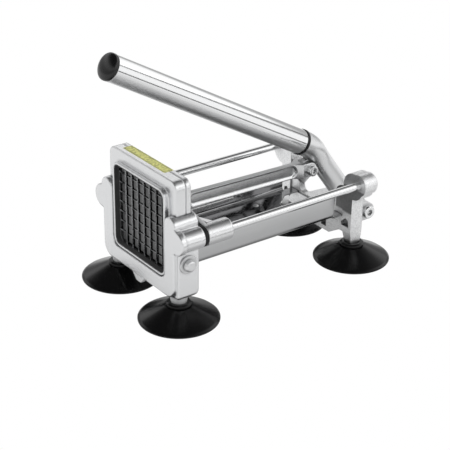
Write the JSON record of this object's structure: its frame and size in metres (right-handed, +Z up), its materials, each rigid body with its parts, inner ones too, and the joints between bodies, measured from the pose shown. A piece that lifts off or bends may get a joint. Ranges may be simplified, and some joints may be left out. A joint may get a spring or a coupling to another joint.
{
  "type": "french fry cutter",
  "caption": "Lever french fry cutter: a long handle and link push a pin block along guide rods, pressing a potato through a blade grid. Stands on suction feet.",
  "frame": {"origin": "on the table, under the middle of the closed cutter's bounding box", "axes": "+X to the right seen from the front, +Y from the blades at the front towards the lever pivot at the back, +Z up"},
  "size_m": [0.167, 0.2928, 0.2358],
  "materials": {
    "frame_casting": "fine cast grain, satin",
    "cassette_casting": "fine cast grain, satin, bright edge at the lip",
    "liner_plastic": "matt black",
    "blade_steel": "ground bright edges",
    "fastener_steel": "bright turned steel",
    "rod_chrome": "polished",
    "bumper_rubber": "matt black",
    "tray_steel": "brushed along its length",
    "cup_rubber": "black, soft sheen",
    "carriage_casting": "fine cast grain",
    "block_plastic": "black, smooth faces on the pins",
    "bush_plastic": "dark, smooth",
    "link_casting": "cast, bright flange edges",
    "lever_casting": "cast, satin",
    "handle_steel": "polished, long soft streaks",
    "gasket_rubber": "matt black",
    "cap_plastic": "black, soft gloss"
  },
  "bodies": {
    "machine": {"front_bracket": "frame_casting", "cassette_frame": "cassette_casting", "cassette_cover": "cassette_casting", "window_liner": "liner_plastic", "vertical_blades": "blade_steel", "horizontal_blades": "blade_steel", "cassette_screws": "fastener_steel", "lock_screws": "fastener_steel", "lock_washers": "fastener_steel", "guide_rod_left": "rod_chrome", "guide_rod_right": "rod_chrome", "bumper_left": "bumper_rubber", "bumper_right": "bumper_rubber", "rear_frame": "frame_casting", "tray": "tray_steel", "tray_brace": "tray_steel", "tray_rivets": "fastener_steel", "suction_cup_front_left": "cup_rubber", "suction_cup_front_right": "cup_rubber", "suction_cup_rear_left": "cup_rubber", "suction_cup_rear_right": "cup_rubber", "cup_studs": "fastener_steel", "pivot_bolt": "fastener_steel", "pivot_nut": "fastener_steel", "pivot_washers": "fastener_steel"},
    "carriage": {"pusher_carriage": "carriage_casting", "pin_block": "block_plastic", "pusher_screws": "fastener_steel", "sleeve_bush_left": "bush_plastic", "sleeve_bush_right": "bush_plastic"},
    "link": {"link_bar": "link_casting", "clevis_pin": "fastener_steel", "clevis_clips": "fastener_steel", "link_bolt": "fastener_steel", "link_nut": "fastener_steel"},
    "handle": {"lever_arm": "lever_casting", "hub_bush": "bush_plastic", "handle_tube": "handle_steel", "handle_gasket": "gasket_rubber", "end_cap": "cap_plastic"}
  },
  "joints": [
    {"name": "handle", "type": "hinge", "parent": "machine", "child": "handle", "pos_m": [0, 0.13637, 0.0285], "axis": [-1, 0, 0], "range_deg": [0, 88]},
    {"name": "carriage", "type": "slide", "parent": "machine", "child": "carriage", "axis": [0, 1, 0], "range_m": [0, 0.1104]},
    {"name": "link", "type": "hinge", "parent": "handle", "child": "link", "pos_m": [0, 0.07693, 0.08148], "axis": [1, 0, 0], "range_deg": [0, 91.25]}
  ],
  "couplings": [
    {"joint": "carriage", "follows": "handle", "m_per_rad": 0.071876},
    {"joint": "link", "follows": "handle", "ratio": 1.0369}
  ]
}
